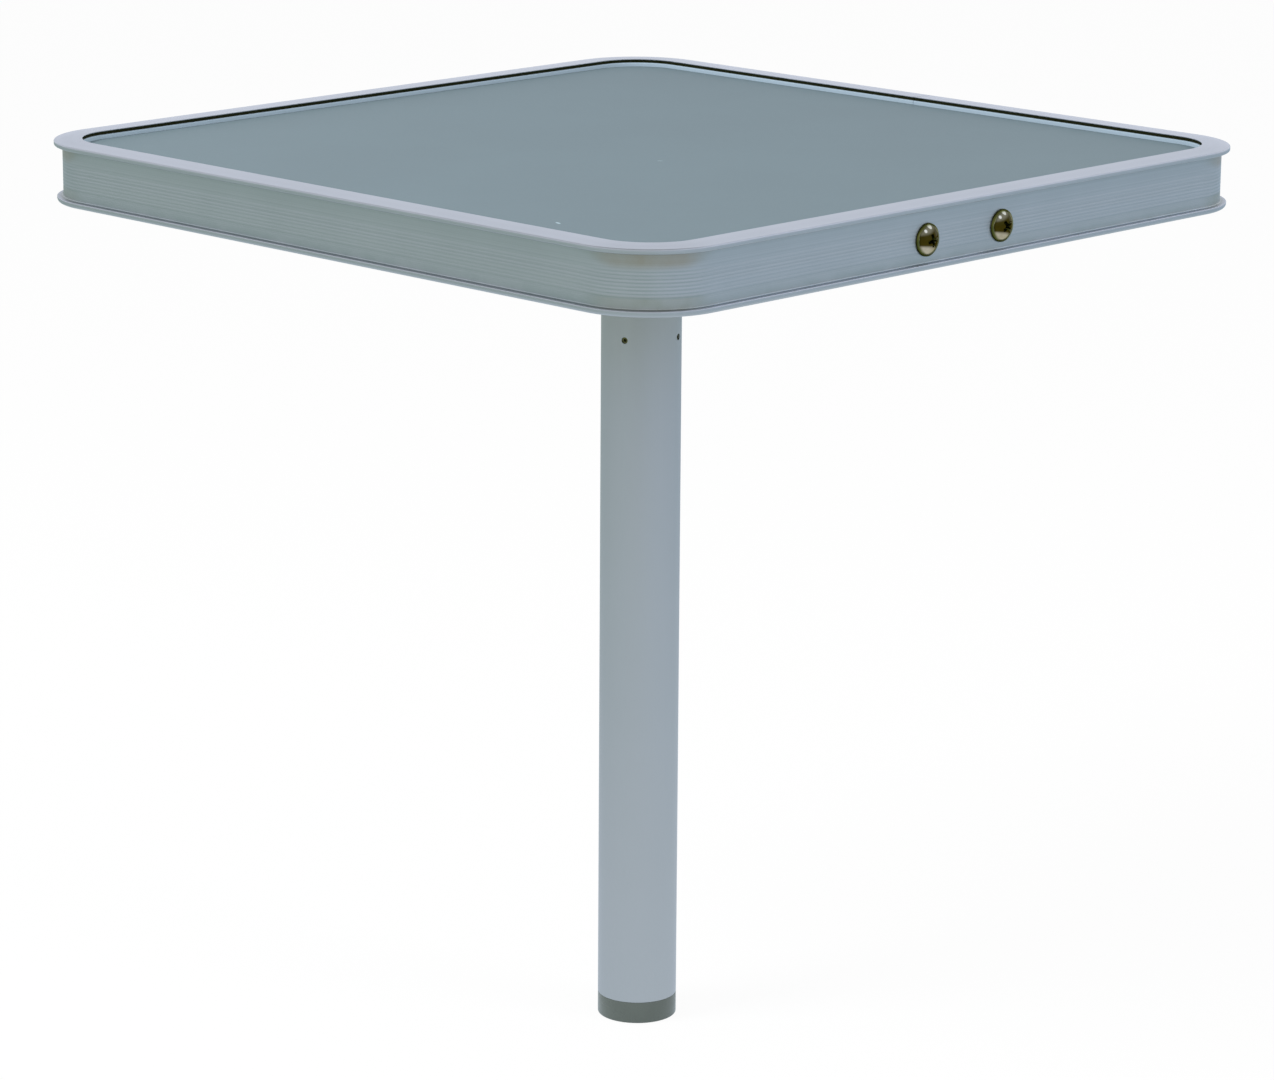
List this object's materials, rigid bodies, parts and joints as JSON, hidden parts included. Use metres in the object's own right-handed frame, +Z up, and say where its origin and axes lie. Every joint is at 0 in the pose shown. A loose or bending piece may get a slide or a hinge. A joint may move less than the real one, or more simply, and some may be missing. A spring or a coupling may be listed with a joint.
{
  "type": "camping table",
  "caption": "Low square camping table: a grey panel in a bent aluminium edge frame with lips, on one round screw-in leg with a plastic foot cap.",
  "frame": {"origin": "on the floor, at the centre of the foot under the leg", "axes": "+Z up along the leg, +X and +Y along the sides of the square top; the side screws are in the -Y and +Y sides"},
  "size_m": [0.42, 0.42, 0.44],
  "materials": {
    "anodised_frame": "satin anodised, fine flutes on the web",
    "panel_grey": "satin grey laminate",
    "board": "bare fibre board",
    "backing_sheet": "matt grey sheet",
    "black_rubber": "matt black rubber",
    "bead_grey": "satin blue-grey plastic strip",
    "mill_aluminium": "mill finish",
    "black_nylon": "moulded black nylon",
    "foam_tape": "black foam tape",
    "bright_nickel": "polished nickel plate",
    "zinc_steel": "zinc plated steel",
    "cast_grey": "die cast aluminium, blasted",
    "white_nylon": "natural nylon",
    "black_steel": "black oxide",
    "anodised_tube": "satin anodised tube",
    "grey_plastic": "moulded grey plastic"
  },
  "bodies": {
    "leg": {"leg_tube": "anodised_tube", "leg_plug": "black_nylon", "leg_stud": "zinc_steel", "stud_pin": "zinc_steel", "plug_set_screws": "black_steel", "foot_cap": "grey_plastic"},
    "washer": {"thrust_washer": "white_nylon"},
    "top": {"edge_frame": "anodised_frame", "panel_laminate": "panel_grey", "panel_board": "board", "panel_backing": "backing_sheet", "panel_gasket": "black_rubber", "panel_bead": "bead_grey", "cross_rail_left": "mill_aluminium", "cross_rail_right": "mill_aluminium", "frame_splice": "mill_aluminium", "splice_rivets": "mill_aluminium", "rail_inserts": "black_nylon", "rail_pads": "foam_tape", "side_screws": "bright_nickel", "mount_plate": "zinc_steel", "nut_bars": "zinc_steel", "plate_screws": "zinc_steel", "hub_screws": "zinc_steel", "hub_bush": "zinc_steel", "leg_hub": "cast_grey"}
  },
  "joints": [
    {"name": "top_turn", "type": "hinge", "parent": "leg", "child": "washer", "pos_m": [0, 0, 0.394], "axis": [0, 0, 1], "range_deg": [0, 2880]},
    {"name": "thread_rise", "type": "slide", "parent": "washer", "child": "top", "axis": [0, 0, 1], "range_m": [0, 0.014]}
  ],
  "couplings": [
    {"joint": "thread_rise", "follows": "top_turn", "m_per_rad": 0.00027852}
  ]
}
